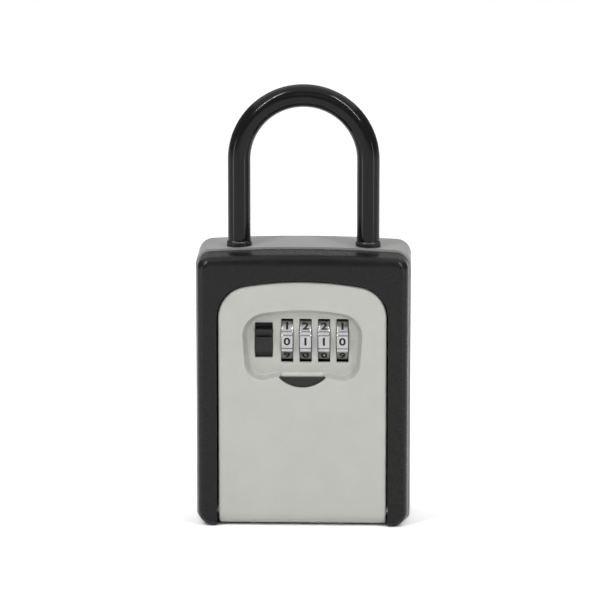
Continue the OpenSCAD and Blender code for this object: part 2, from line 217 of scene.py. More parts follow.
def refined(node, width, angle, smooth=32.0, segments=2):
    """A cleaned and edge-rounded copy of a CAD node's mesh that stands for it."""
    me = frame["nodes"][node].data.copy()
    me.name = node + "_finished"
    for name in [a.name for a in me.attributes if a.name == "custom_normal"]:
        me.attributes.remove(me.attributes[name])
    bm = bmesh.new()
    bm.from_mesh(me)
    bmesh.ops.remove_doubles(bm, verts=bm.verts, dist=WELD * MM)
    for f in bm.faces:
        f.smooth = True
    for e in bm.edges:
        e.smooth = True
    bmesh.ops.dissolve_limit(
        bm, angle_limit=math.radians(0.6), verts=bm.verts, edges=bm.edges, use_dissolve_boundaries=False
    )
    bm.to_mesh(me)
    bm.free()
    obj = bpy.data.objects.new(node + "_finished", me)
    bpy.context.scene.collection.objects.link(obj)
    finish_mesh(obj, smooth)
    me.materials.clear()
    me.materials.append(MATERIALS[SLOT_OF[node]])
    bevelled(obj, width, angle, segments)
    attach(obj, BODY_OF[node])
    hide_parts(node)
    return obj


def arc(cx, cz, r, a0, a1, n):
    """Points of an arc in n steps between two angles in degrees."""
    turns = [math.radians(a0 + (a1 - a0) * i / n) for i in range(n + 1)]
    return [(cx + r * math.cos(a), cz + r * math.sin(a)) for a in turns]


def quarter_round(r, steps):
    """How far in and how far back each ring of a rounded edge lies, from the flat to the side."""
    turns = [math.radians(90 * j / steps) for j in range(steps + 1)]
    return [(r * (1 - math.cos(a)), r * (1 - math.sin(a))) for a in turns]


def tube(path, radius, sides, closed_ends=True):
    """Points and faces of a round bar along a path of points in millimetres."""
    pts = [Vector(p) for p in path]
    n = len(pts)
    tangents = [(pts[min(i + 1, n - 1)] - pts[max(i - 1, 0)]).normalized() for i in range(n)]
    side = tangents[0].orthogonal().normalized()
    verts, faces = [], []
    for i in range(n):
        side = (side - tangents[i] * side.dot(tangents[i])).normalized()
        up = tangents[i].cross(side)
        r = radius[i] if isinstance(radius, (list, tuple)) else radius
        for k in range(sides):
            a = 2 * math.pi * k / sides
            verts.append(tuple(pts[i] + (side * math.cos(a) + up * math.sin(a)) * r))
    for i in range(n - 1):
        for k in range(sides):
            a, b = i * sides + k, i * sides + (k + 1) % sides
            faces.append((a, b, b + sides, a + sides))
    if closed_ends:
        faces.append(tuple(range(sides))[::-1])
        faces.append(tuple((n - 1) * sides + k for k in range(sides)))
    return verts, faces


# ---------------------------------------------------------------- materials
def nodes_of(name):
    mat = bpy.data.materials.new(name)
    mat.use_nodes = True
    tree = mat.node_tree
    bsdf = tree.nodes["Principled BSDF"]
    coords = tree.nodes.new("ShaderNodeTexCoord")
    return mat, tree, bsdf, coords


def mapped(tree, coords, stretch):
    m = tree.nodes.new("ShaderNodeMapping")
    m.inputs["Scale"].default_value = stretch
    tree.links.new(coords.outputs["Object"], m.inputs["Vector"])
    return m.outputs["Vector"]


def noise(tree, vector, size, detail, roughness):
    """Noise whose features are about size millimetres across."""
    n = tree.nodes.new("ShaderNodeTexNoise")
    n.inputs["Scale"].default_value = 1.0 / (size * MM)
    n.inputs["Detail"].default_value = detail
    n.inputs["Roughness"].default_value = roughness
    tree.links.new(vector, n.inputs["Vector"])
    return n.outputs["Fac"]


def ranged(tree, value, low, high, frm=(0.3, 0.7)):
    r = tree.nodes.new("ShaderNodeMapRange")
    r.inputs["From Min"].default_value, r.inputs["From Max"].default_value = frm
    r.inputs["To Min"].default_value, r.inputs["To Max"].default_value = low, high
    tree.links.new(value, r.inputs["Value"])
    return r.outputs["Result"]


def mixed(tree, factor, a, b):
    m = tree.nodes.new("ShaderNodeMix")
    m.data_type = "RGBA"
    tree.links.new(factor, m.inputs["Factor"])
    for socket, value in ((m.inputs["A"], a), (m.inputs["B"], b)):
        if isinstance(value, tuple):
            socket.default_value = (*value, 1.0)
        else:
            tree.links.new(value, socket)
    return m.outputs["Result"]


def edge_mask(tree, radius, gain, breakup):
    """1 along outer edges, broken up by noise."""
    bevel = tree.nodes.new("ShaderNodeBevel")
    bevel.samples = 4
    bevel.inputs["Radius"].default_value = radius * MM
    geo = tree.nodes.new("ShaderNodeNewGeometry")
    dot = tree.nodes.new("ShaderNodeVectorMath")
    dot.operation = "DOT_PRODUCT"
    tree.links.new(bevel.outputs["Normal"], dot.inputs[0])
    tree.links.new(geo.outputs["Normal"], dot.inputs[1])
    worn = ranged(tree, dot.outputs["Value"], gain, 0.0, (0.72, 0.97))
    both = tree.nodes.new("ShaderNodeMath")
    both.operation = "MULTIPLY"
    tree.links.new(worn, both.inputs[0])
    tree.links.new(breakup, both.inputs[1])
    return both.outputs["Value"]


def bumped(tree, bsdf, height, distance, under=None):
    """A bump of the given height in millimetres, over an earlier one if there is one."""
    b = tree.nodes.new("ShaderNodeBump")
    b.inputs["Strength"].default_value = 1.0
    b.inputs["Distance"].default_value = distance * MM
    tree.links.new(height, b.inputs["Height"])
    if under is not None:
        tree.links.new(under, b.inputs["Normal"])
    tree.links.new(b.outputs["Normal"], bsdf.inputs["Normal"])
    return b.outputs["Normal"]


def scaled(colour, k):
    return tuple(min(1.0, c * k) for c in colour)


def surface(name, colour, rough, grain, depth, patch, tint, metallic=0.0, spread=0.06, stretch=(1, 1, 1),
            wear=None, specular=0.5, wave=0.0, wave_size=6.0):
    """Colour with soft patches, roughness from grain, a fine bump, and optionally a worn edge.

    grain, patch and wave_size are feature sizes in millimetres, depth and wave are bump heights, and wear is
    (colour, radius, amount).
    """
    mat, tree, bsdf, coords = nodes_of(name)
    fine = noise(tree, mapped(tree, coords, stretch), grain, 3.0, 0.6)
    broad = noise(tree, mapped(tree, coords, (1, 1, 1)), patch, 4.0, 0.6)
    base = mixed(tree, ranged(tree, broad, 0.0, 1.0), scaled(colour, 1 - tint), scaled(colour, 1 + tint))
    base = mixed(tree, ranged(tree, fine, 0.0, 0.35), base, scaled(colour, 1 + 2.2 * tint))
    if wear:
        worn, radius, amount = wear
        base = mixed(tree, edge_mask(tree, radius, amount, ranged(tree, broad, 0.35, 1.0)), base, worn)
    tree.links.new(base, bsdf.inputs["Base Color"])
    mid = tree.nodes.new("ShaderNodeMath")
    mid.operation = "ADD"
    tree.links.new(ranged(tree, fine, -spread / 2, spread / 2), mid.inputs[0])
    tree.links.new(ranged(tree, broad, rough - spread / 2, rough + spread / 2), mid.inputs[1])
    tree.links.new(mid.outputs["Value"], bsdf.inputs["Roughness"])
    bsdf.inputs["Metallic"].default_value = metallic
    bsdf.inputs["Specular IOR Level"].default_value = specular
    under = None
    if wave:
        under = bumped(tree, bsdf, noise(tree, mapped(tree, coords, (1, 1, 1)), wave_size, 2.0, 0.4), wave)
    bumped(tree, bsdf, fine, depth, under)
    mat.diffuse_color = (*colour, 1.0)
    return mat


FINISHES = {
    "case_paint": dict(
        colour=(0.258, 0.258, 0.254), rough=0.42, metallic=0.2, grain=0.34, depth=0.045, patch=12, tint=0.06,
        spread=0.10, specular=0.35, wear=((0.36, 0.36, 0.355), 0.5, 0.5)),
    "bezel_black": dict(
        colour=(0.006, 0.006, 0.0057), rough=0.27, grain=0.32, depth=0.010, patch=10, tint=0.10,
        spread=0.08, specular=0.18, wear=((0.045, 0.045, 0.043), 0.5, 0.5)),
    "door_silver": dict(
        colour=(0.338, 0.343, 0.319), rough=0.46, metallic=0.25, grain=0.30, depth=0.022, patch=11,
        tint=0.035, spread=0.08, specular=0.35, wear=((0.43, 0.43, 0.41), 0.4, 0.5)),
    "vinyl_black": dict(
        colour=(0.004, 0.004, 0.0042), rough=0.13, grain=1.2, depth=0.003, patch=14, tint=0.12,
        spread=0.04, specular=0.17, wave=0.03, wave_size=9.0),
    "black_plastic": dict(
        colour=(0.008, 0.008, 0.008), rough=0.38, grain=0.22, depth=0.008, patch=7, tint=0.12,
        spread=0.10, specular=0.28, wear=((0.04, 0.04, 0.04), 0.3, 0.5)),
    "dial_chrome": dict(
        colour=(0.35, 0.35, 0.35), rough=0.22, metallic=1.0, grain=0.12, depth=0.002, patch=3, tint=0.04,
        spread=0.08, stretch=(0.15, 1, 1)),
    "zinc_steel": dict(
        colour=(0.60, 0.61, 0.62), rough=0.28, metallic=1.0, grain=0.20, depth=0.004, patch=4, tint=0.07,
        spread=0.12),
    "plate_steel": dict(
        colour=(0.50, 0.51, 0.52), rough=0.40, metallic=1.0, grain=0.16, depth=0.006, patch=4, tint=0.05,
        spread=0.06, stretch=(0.12, 1, 1)),
    "spring_steel": dict(
        colour=(0.44, 0.44, 0.45), rough=0.30, metallic=1.0, grain=0.10, depth=0.003, patch=3, tint=0.10,
        spread=0.10),
    "cam_brass": dict(
        colour=(0.70, 0.50, 0.22), rough=0.27, metallic=1.0, grain=0.14, depth=0.004, patch=4, tint=0.08,
        spread=0.10, stretch=(1, 0.2, 0.2)),
    "numeral_ink": dict(
        colour=(0.005, 0.005, 0.005), rough=0.42, grain=0.10, depth=0.004, patch=2, tint=0.2, specular=0.2),
    "pull_grey": dict(
        colour=(0.010, 0.010, 0.009), rough=0.46, grain=0.25, depth=0.010, patch=6, tint=0.10, specular=0.28),
}
MATERIALS = {name: surface(name, **finish) for name, finish in FINISHES.items()}


# ---------------------------------------------------------------- door: outlines
def crowned(half, top, rt, rc, g, levels, corner=18, crown=30):
    """Outline grown by g, from the lower right, up over the crown and down to the lower left."""
    xc = half - rt
    zc = top - rc + math.sqrt((rc - rt) ** 2 - xc * xc)
    lean = math.degrees(math.asin(xc / (rc - rt)))
    right = [(half + g, z) for z in levels if z < zc]
    right += arc(xc, zc, rt + g, 0, 90 - lean, corner)
    over = arc(0, top - rc, rc + g, 90 - lean, 90 + lean, crown)[1:-1]
    return right + over + [(-x, z) for x, z in reversed(right)]


BARREL_RISE, LEVEL_STEP = 6, 9
SIDE_LEVELS = [PIN_Z] + [PIN_Z + BARREL_RISE + LEVEL_STEP * i for i in range(9)]


def door_outline(g):
    """The door's outline grown by g, open at the bottom."""
    return crowned(DOOR_HALF, DOOR_TOP, DOOR_CORNER, DOOR_CROWN, g, SIDE_LEVELS)


def recess_dip(x):
    """Height of the recess's lower edge: straight over the half-moon, then down into the lobes."""
    if abs(x) < DIP_START:
        return RECESS_EDGE
    return RECESS_EDGE - DIP * (1 - math.cos(math.pi * (abs(x) - DIP_START) / DIP_REACH))


def recess_outline(g):
    """Closed outline of the lock recess: crowned top, narrowing sides, a soft lobe at each lower corner."""
    rt, rc, top = RECESS_CORNER, RECESS_CROWN, RECESS_TOP
    xc = RECESS_HALF - rt
    zc = top - rc + math.sqrt((rc - rt) ** 2 - xc * xc)
    lean = math.degrees(math.asin(xc / (rc - rt)))
    low = [(x / 2, recess_dip(x / 2) - g) for x in range(-30, 31)]
    right = arc(LOBE_X, LOBE_Z, LOBE_R + g, -90, 0, 16) + arc(xc, zc, rt + g, 0, 90 - lean, 18)
    over = arc(0, top - rc, rc + g, 90 - lean, 90 + lean, 24)[1:-1]
    return low + right + over + [(-x, z) for x, z in reversed(right)]


def hit(outline, angle):
    """Where a ray from the recess's middle meets a closed outline."""
    dx, dz = math.cos(angle), math.sin(angle)
    best = None
    for (x0, z0), (x1, z1) in zip(outline, outline[1:] + outline[:1]):
        ex, ez = x1 - x0, z1 - z0
        den = dx * ez - dz * ex
        if abs(den) < 1e-12:
            continue
        px, pz = x0, z0 - CENTRE_Z
        t = (px * ez - pz * ex) / den
        s = (px * dz - pz * dx) / den
        if t > 0 and -1e-9 <= s <= 1 + 1e-9 and (best is None or t > best):
            best = t
    return (dx * best, CENTRE_Z + dz * best)


def moon_hit(angle, g):
    """Where a downward ray from the recess's middle meets the half-moon's arc grown by g."""
    dx, dz = math.cos(angle), math.sin(angle)
    oz = CENTRE_Z - MOON_CENTRE_Z
    r = MOON_R + g
    b = oz * dz
    t = -b + math.sqrt(b * b - (oz * oz - r * r))
    return (dx * t, CENTRE_Z + dz * t)


def line_hit(angle, z):
    """Where a ray from the recess's middle meets a level line."""
    k = (z - CENTRE_Z) / math.sin(angle)
    return (math.cos(angle) * k, z)


def rounded_rect(cx, cz, hx, hz, r):
    out = []
    for sx, sz, a0 in ((1, -1, -90), (1, 1, 0), (-1, 1, 90), (-1, -1, 180)):
        out += arc(cx + sx * (hx - r), cz + sz * (hz - r), r, a0, a0 + 90, 4)
    return out


def inside(outline, x, z):
    """Whether a point lies inside a closed outline."""
    odd = False
    for (x0, z0), (x1, z1) in zip(outline, outline[1:] + outline[:1]):
        if (z0 > z) != (z1 > z) and x < (x1 - x0) * (z - z0) / (z1 - z0) + x0:
            odd = not odd
    return odd


def fill(outer, holes):
    """Triangles of a flat region with holes: a list of points and a list of faces."""
    points, edges = [], []
    for loop in [outer, *holes]:
        base = len(points)
        points += [Vector(q) for q in loop]
        edges += [(base + i, base + (i + 1) % len(loop)) for i in range(len(loop))]
    verts, _, tris, *_ = geometry.delaunay_2d_cdt(points, edges, [], 1, 1e-5)
    kept = []
    for t in tris:
        cx, cz = (sum(verts[i][k] for i in t) / len(t) for k in (0, 1))
        if inside(outer, cx, cz) and not any(inside(h, cx, cz) for h in holes):
            kept.append(tuple(t))
    return [tuple(v) for v in verts], kept


# ---------------------------------------------------------------- door: front, recess and barrel
class Patch:
    """Collects points and faces of one piece."""

    def __init__(self):
        self.v, self.f = [], []

    def ring(self, points, y):
        """Adds points (x, z) at depth y, a number or one per point, and returns their places."""
        start = len(self.v)
        ys = y if isinstance(y, list) else [y] * len(points)
        self.v += [(x, d, z) for (x, z), d in zip(points, ys)]
        return list(range(start, len(self.v)))

    def join(self, a, b, closed=False):
        """Quads between two rows of places."""
        n = len(a)
        for i in range(n if closed else n - 1):
            j = (i + 1) % n
            self.f.append((a[i], a[j], b[j], b[i]))

    def add(self, points, faces):
        """Adds points (x, y, z) and faces that count from the first of them."""
        base = len(self.v)
        self.v += points
        self.f += [tuple(base + i for i in f) for f in faces]

    def flat(self, outer, holes, y):
        pts, tris = fill(outer, holes)
        self.add([(x, y, z) for x, z in pts], tris)

    def end(self, pts, tris, x):
        """A filled outline of points (y, z) across the piece at x."""
        self.add([(x, y, z) for y, z in pts], tris)


def door_rim(p, band):
    """The rounded front edge and the sides; below the first level the sides are in the end caps."""
    rings = [p.ring(door_outline(-inset), DOOR_FRONT + depth) for inset, depth in band]
    for a, b in zip(rings, rings[1:]):
        p.join(a, b)
    outline = door_outline(0)[1:-1]
    side_back = p.ring(outline, DOOR_BACK)
    p.join(p.ring(outline, DOOR_FRONT + DOOR_EDGE), side_back)


def recess_rays():
    """Angles round the recess, each marked if it crosses the half-moon; its two corners have both kinds."""
    corner = math.atan2(RECESS_EDGE - CENTRE_Z, math.sqrt(MOON_R ** 2 - (MOON_CENTRE_Z - RECESS_EDGE) ** 2))
    other = -math.pi - corner
    count, clear = 220, 0.012
    angles = [-math.pi / 2 + 2 * math.pi * i / count for i in range(count)]
    angles = [(a + math.pi) % (2 * math.pi) - math.pi for a in angles]
    angles = [a for a in angles if min(abs(a - corner), abs(a - other)) > clear]
    rays = [(a, other < a < corner) for a in angles]
    for c in (corner, other):
        rays += [(c, True), (c, False)]
    rays.sort(key=lambda r: (round(r[0], 9), r[1] if r[0] < -math.pi / 2 else not r[1]))
    return rays


def recess_wall(p):
    """Lofts the recess's wall and the half-moon's pocket along the rays; returns its mouth and floor."""
    steps = 17
    lip, reach = 0.4, 2.0
    drop = moon_high.y - DOOR_FRONT + 0.02
    outlines = {}

    def wall_point(angle, g):
        key = round(g, 6)
        if key not in outlines:
            outlines[key] = recess_outline(g)
        return hit(outlines[key], angle)

    def fall(u):
        return 0.5 - 0.5 * math.cos(math.pi * u)

    columns = []
    for angle, in_moon in recess_rays():
        col = []
        if in_moon:
            for g, depth in ((0.25, 0.0), (0.07, 0.07), (0.0, 0.25), (0.0, drop)):
                x, z = moon_hit(angle, g)
                col.append((x, DOOR_FRONT + depth, z))
            x, z = line_hit(angle, RECESS_EDGE)
            col.append((x, DOOR_FRONT + drop, z))
            rest = steps - len(col)
            for i in range(1, rest + 1):
                x, z = wall_point(angle, -reach * i / rest)
                col.append((x, DOOR_FRONT + drop + (RECESS_DEPTH - drop) * fall(i / rest), z))
        else:
            for i in range(steps):
                u = i / (steps - 1)
                x, z = wall_point(angle, lip - (lip + reach) * u)
                col.append((x, DOOR_FRONT + RECESS_DEPTH * fall(u), z))
        columns.append(col)
    n = len(columns)
    start = len(p.v)
    for col in columns:
        p.v += col
    for i in range(n):
        here, there = start + i * steps, start + (i + 1) % n * steps
        p.f += [(here + m, there + m, there + m + 1, here + m + 1) for m in range(steps - 1)]
    return [(c[0][0], c[0][2]) for c in columns], [(c[-1][0], c[-1][2]) for c in columns]


def recess_floor(p, outline):
    """The recess's floor with its lipped openings and the index grooves between them."""
    lip, corner = 0.3, 0.35
    holes = []
    for cx, cz, hx, hz in OPENINGS:
        last = None
        for j in range(4):
            a = math.radians(30 * j)
            grow, depth = lip * (1 - math.sin(a)), lip * (1 - math.cos(a))
            loop = rounded_rect(cx, cz, hx + grow, hz + grow, corner + grow)
            if j == 0:
                holes.append(loop)
            ids = p.ring(loop, FLOOR_Y + depth)
            if last:
                p.join(last, ids, closed=True)
            last = ids
        p.join(last, p.ring(rounded_rect(cx, cz, hx, hz, corner), FLOOR_Y + RECESS_BACK), closed=True)
    h, d, clear, last_end = 0.17, 0.16, lip + 0.15, 21.0
    stops = sorted([(cx - hx - clear, cx + hx + clear) for cx, _, hx, _ in OPENINGS])
    spans = [(a[1], b[0]) for a, b in zip(stops, stops[1:])] + [(stops[-1][1], last_end)]
    for x0, x1 in spans:
        mouth = [(x0, DIAL_Z - h), (x1, DIAL_Z - h), (x1, DIAL_Z + h), (x0, DIAL_Z + h)]
        holes.append(mouth)
        points = [(x, FLOOR_Y, z) for x, z in mouth]
        points += [(x0 + h, FLOOR_Y + d, DIAL_Z), (x1 - h, FLOOR_Y + d, DIAL_Z)]
        p.add(points, [(0, 1, 5, 4), (3, 4, 5, 2), (0, 4, 3), (1, 2, 5)])
    p.flat(outline, holes, FLOOR_Y)


def door_barrel(p, band, bottom):
    """The barrel along the bottom, swept from front to back about the pin, and the door's end caps."""
    turns, bore = 28, 1.55
    profile = [(DOOR_HALF - inset, depth) for inset, depth in band]
    profile += [(x, 0.0) for x, _ in reversed(bottom)]
    profile += [(-(DOOR_HALF - inset), depth) for inset, depth in reversed(band)]
    last, cap = None, []
    for i in range(turns + 1):
        phi = math.pi + math.pi * i / turns
        fade = 1.0 if phi <= 1.5 * math.pi else 0.5 + 0.5 * math.cos(2 * (phi - 1.5 * math.pi))
        ids = []
        for x, depth in profile:
            r = BARREL_R - depth * fade
            ids.append(len(p.v))
            p.v.append((x, PIN_Y + r * math.cos(phi), PIN_Z + r * math.sin(phi)))
        cap.append((p.v[ids[0]][1], p.v[ids[0]][2]))
        if last:
            p.join(last, ids)
        last = ids
    level = SIDE_LEVELS[1]
    loop = cap + [(DOOR_BACK, level), (DOOR_FRONT + DOOR_EDGE, level)]
    pts, tris = fill(loop, [arc(PIN_Y, PIN_Z, bore, 0, 345, 23)])
    for s in (1, -1):
        p.end(pts, tris, s * DOOR_HALF)


def build_door():
    p = Patch()
    band = quarter_round(DOOR_EDGE, 6)
    door_rim(p, band)
    mouth, floor = recess_wall(p)
    flat_half, parts = DOOR_HALF - DOOR_EDGE, 40
    bottom = [(-flat_half + 2 * flat_half * i / parts, PIN_Z) for i in range(1, parts)]
    p.flat(door_outline(-DOOR_EDGE) + bottom, [mouth], DOOR_FRONT)
    recess_floor(p, floor)
    door_barrel(p, band, bottom)
    obj = make("door_shell", p.v, p.f, "door", "door_silver", smooth=30, stands_for=["door_panel"])
    keep_inside(obj)
    weighted(obj)


def keep_inside(obj):
    """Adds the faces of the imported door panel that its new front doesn't replace."""
    near, loose, wide, behind = 0.05, 0.08, 0.1, 0.4
    shrunk_door, recess = door_outline(-loose), recess_outline(wide)
    moon = arc(0, MOON_CENTRE_Z, MOON_R + wide, 180, 360, 60)
    sill = RECESS_EDGE + wide
    moon_back = moon_high.y + behind

    def on_barrel(v):
        return v[2] < PIN_Z + 0.02 and abs(math.hypot(v[1] - PIN_Y, v[2] - PIN_Z) - BARREL_R) < loose

    def in_opening(v, opening):
        cx, cz, hx, hz = opening
        across = abs(v[0] - cx) < hx + near and abs(v[2] - cz) < hz + near
        return across and v[1] < FLOOR_Y + RECESS_BACK + near

    def replaced(face):
        vs = [v.co / MM for v in face.verts]
        c = sum(vs, Vector()) / len(vs)
        side_on = abs(face.normal.y) < 0.5
        return (
            all(abs(v[0]) > DOOR_HALF - near for v in vs)
            or all(on_barrel(v) for v in vs)
            or all(v[1] < DOOR_FRONT + near for v in vs)
            or side_on and all(v[2] >= PIN_Z - near and not inside(shrunk_door, v[0], v[2]) for v in vs)
            or c[1] < FLOOR_Y + near and inside(recess, c[0], c[2])
            or c[1] < moon_back and c[2] < sill and inside(moon, c[0], c[2])
            or side_on and any(all(in_opening(v, o) for v in vs) for o in OPENINGS)
        )

    append_mesh(obj, packed_part("door_panel", "door_inside", replaced), 30)


build_door()


# ---------------------------------------------------------------- dials
# how far in from a facet's corner, and how deep, the groove between two facets runs
GROOVE = ((0.06, 0.66), (0.22, 0.52), (0.52, 0.27), (0.85, 0.07), (1.10, 0.0))
NUMERAL_HIGH, NUMERAL_WIDE = 3.1, 3.0
SHOWN = (0, 1, 1, 0)


def dial_section(inset):
    """Ten facets with a rounded groove at each corner, as (y, z) about the axis."""
    across = [(d - HALF_FACET, deep) for d, deep in GROOVE]
    across += [(HALF_FACET - d, deep) for d, deep in reversed(GROOVE)]
    out = []
    for k in range(FACETS):
        a = math.radians(180 + 360 / FACETS * k)
        for t, down in across:
            r = APOTHEM - down - inset
            out.append((r * math.cos(a) - t * math.sin(a), r * math.sin(a) + t * math.cos(a)))
    return out


def build_wheel(i):
    """The wheel: rounded rims, grooved facets and a plain bore, wider where the code sleeve goes in."""
    cx, half = DIAL_X[i], DIAL_T / 2
    bore, sleeve_room, step = 4.0, 0.75, 1.15 - DIAL_T / 2
    rims = ((0.0, 0.30), (0.09, 0.10), (0.30, 0.0))
    p = Patch()
    levels = [(x - half, inset) for x, inset in rims] + [(half - x, inset) for x, inset in reversed(rims)]
    rings = []
    for x, inset in levels:
        rings.append(list(range(len(p.v), len(p.v) + 2 * len(GROOVE) * FACETS)))
        p.v += [(cx + x, DIAL_Y + y, DIAL_Z + z) for y, z in dial_section(inset)]
    for a, b in zip(rings, rings[1:]):
        p.join(a, b, closed=True)

    def round_ring(x, r):
        ids = [len(p.v) + j for j in range(len(rings[0]))]
        for y, z in dial_section(rims[0][1]):
            d = math.hypot(y, z)
            p.v.append((cx + x, DIAL_Y + y / d * r, DIAL_Z + z / d * r))
        return ids

    shoulders = []
    for ring, x, r in ((rings[0], -half, bore), (rings[-1], half, bore + sleeve_room)):
        ids = round_ring(x, r)
        p.join(ring, ids, closed=True)
        shoulders.append(round_ring(step, r))
        p.join(ids, shoulders[-1], closed=True)
    p.join(shoulders[1], shoulders[0], closed=True)
    body = f"dial_{i + 1}"
    weighted(make(body + "_wheel", p.v, p.f, body, "dial_chrome", smooth=28, stands_for=[body]))


def numeral(figure):
    """A filled figure as a flat mesh, about one unit high."""
    curve = bpy.data.curves.new("numeral", "FONT")
    curve.body = str(figure)
    curve.size = 1.0
    curve.offset = 0.03
    curve.resolution_u = 4
    drawn = bpy.data.objects.new("numeral", curve)
    bpy.context.scene.collection.objects.link(drawn)
    bpy.context.view_layer.update()
    me = bpy.data.meshes.new_from_object(drawn.evaluated_get(bpy.context.evaluated_depsgraph_get()))
    bpy.data.objects.remove(drawn)
    return me


def build_numerals(i):
    """Filled numerals, one to a facet, counting upwards from the one that shows at rest."""
    body = f"dial_{i + 1}"
    above, widest = 0.012, 1.30
    bm = bmesh.new()
    for k in range(FACETS):
        me = numeral((SHOWN[i] + k) % 10)
        xs, ys = [v.co.x for v in me.vertices], [v.co.y for v in me.vertices]
        mx, my = (min(xs) + max(xs)) / 2, (min(ys) + max(ys)) / 2
        sy = NUMERAL_HIGH / (max(ys) - min(ys))
        sx = min(sy * widest, NUMERAL_WIDE / (max(xs) - min(xs)))
        fall = -math.radians(360 / FACETS * k)
        c, s = math.cos(fall), math.sin(fall)
        for v in me.vertices:
            x, y, z = (v.co.x - mx) * sx, -(APOTHEM + above), (v.co.y - my) * sy
            v.co = Vector((DIAL_X[i] + x, DIAL_Y + y * c - z * s, DIAL_Z + y * s + z * c)) * MM
        bm.from_mesh(me)
    bmesh.ops.remove_doubles(bm, verts=bm.verts, dist=WELD * MM)
    out = bpy.data.meshes.new(body + "_numerals")
    bm.to_mesh(out)
    bm.free()
    marks = bpy.data.objects.new(body + "_numerals", out)
    bpy.context.scene.collection.objects.link(marks)
    out.materials.append(MATERIALS["numeral_ink"])
    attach(marks, body)


for i in range(4):
    build_wheel(i)
    build_numerals(i)


# ---------------------------------------------------------------- slide button
def build_slider():
    """The button with its thumb ridge and the scoop under it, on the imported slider's back plate."""
    cx, cz, hx, hz = SLOT
    half, travel = hx - 0.175, 2.25
    low, high = cz - hz + travel, cz + hz - travel
    plate, nose, back = FLOOR_Y - 0.6, slider_low.y, FLOOR_Y + RECESS_BACK + 0.2
    scoop, scoop_z, scoop_step = 0.55, high - 3.5, 0.19
    profile = [(back, low), (plate + 0.4, low), (plate + 0.12, low + 0.12), (plate, low + 0.4)]
    profile += [(plate + scoop * math.sin(math.pi * t / 8), scoop_z + scoop_step * t) for t in range(8)]
    profile += [(plate - 0.1, high - 1.92), (nose + 0.4, high - 1.75), (nose + 0.12, high - 1.62)]
    profile += [(nose, high - 1.35), (nose + 0.04, high - 0.85), (nose + 0.45, high - 0.22)]
    profile += [(nose + 0.9, high), (back, high)]
    count = len(profile)
    p = Patch()
    for s in (-1, 1):
        p.v += [(cx + s * half, y, z) for y, z in profile]
    p.join(list(range(count)), list(range(count, 2 * count)), closed=True)
    pts, tris = fill(profile, [])
    for s in (-1, 1):
        p.end(pts, tris, cx + s * half)
    obj = make("slide_button", p.v, p.f, "slider", "black_plastic", smooth=30, stands_for=["release_slider"])
    back_plate = packed_part(
        "release_slider", "slider_back", lambda f: any(v.co.y / MM < back - 0.02 for v in f.verts)
    )
    append_mesh(obj, back_plate, 30)
    bevelled(obj, 0.22, 40, 3)


build_slider()


# ---------------------------------------------------------------- shackle
LEG_X = (sleeve_high.x - sleeve_low.x) / 2 - (sleeve_high.y - sleeve_low.y) / 2
LEG_Y = (sleeve_high.y + sleeve_low.y) / 2
SLEEVE_R = (sleeve_high.y - sleeve_low.y) / 2
ROD_R = (rod_high.y - rod_low.y) / 2
ARCH_Z = sleeve_high.z - SLEEVE_R - LEG_X


def shackle_line(low):
    """The middle line of the shackle from low on one leg, over the arch, to low on the other."""
    legs = [low + (ARCH_Z - low) * i / 12 for i in range(12)]
    over = arc(0, ARCH_Z, LEG_X, 0, 180, 72)
    up = [(LEG_X, LEG_Y, z) for z in legs]
    down = [(-LEG_X, LEG_Y, z) for z in reversed(legs)]
    return up + [(x, LEG_Y, z) for x, z in over] + down


def build_sleeve():
    """The vinyl tube on the rod, with a bore and rounded rims at its two feet."""
    low, lip, sides, clear = sleeve_low.z, 0.45, 56, 0.02
    path = shackle_line(low)
    turn = [math.radians(a) for a in (0, 30, 60, 90)]
    ends = [(lip * (1 - math.cos(a)), lip * (1 - math.sin(a))) for a in turn]
    lead = [(LEG_X, LEG_Y, low + up) for up, _ in ends]
    tail = [(-LEG_X, LEG_Y, low + up) for up, _ in reversed(ends)]
    radii = [SLEEVE_R - inn for _, inn in ends]
    full = lead + path[1:-1] + tail
    r = radii + [SLEEVE_R] * (len(path) - 2) + radii[::-1]
    v, f = tube(full, r, sides, closed_ends=False)
    inner_v, inner_f = tube(shackle_line(low), ROD_R + clear, sides, closed_ends=False)
    base = len(v)
    v += inner_v
    f += [tuple(reversed([base + i for i in q])) for q in inner_f]
    last_outer, last_inner = base - sides, len(v) - sides
    for k in range(sides):
        j = (k + 1) % sides
        f.append((k, base + k, base + j, j))
        f.append((last_outer + k, last_outer + j, last_inner + j, last_inner + k))
    weighted(make(
        "shackle_vinyl", v, f, "shackle", "vinyl_black", smooth=40, weld=0, stands_for=["shackle_sleeve"]))


build_sleeve()
refined("shackle_rod", 0.5, angle=50)
refined("shackle_collars", 0.3, angle=50)


# ---------------------------------------------------------------- springs as true coils
def coil(name, node, body, axis, centre, start, end, radius, wire, turns):
    """A compression spring between start and end along an axis, with its end turns closed up."""
    per_turn, sides = 28, 12
    closed, even, lean = 0.75, 0.06, 0.25
    count = int(turns * per_turn)
    path = []
    length = end - start - 2 * wire
    for i in range(count + 1):
        t = i / count
        a = 2 * math.pi * turns * t
        k = min(1.0, max(0.0, (t * turns - closed) / (turns - 2 * closed)))
        eased = k * k * (3 - 2 * k) * lean + k * (1 - lean)
        along = start + wire + length * (even * t + (1 - even) * eased)
        u, w = (radius - wire) * math.cos(a), (radius - wire) * math.sin(a)
        if axis == "x":
            path.append((along, centre[0] + u, centre[1] + w))
        else:
            path.append((centre[0] + u, centre[1] + w, along))
    v, f = tube(path, wire, sides)
    return make(name, v, f, body, SLOT_OF[node], smooth=60, weld=0, stands_for=[node])


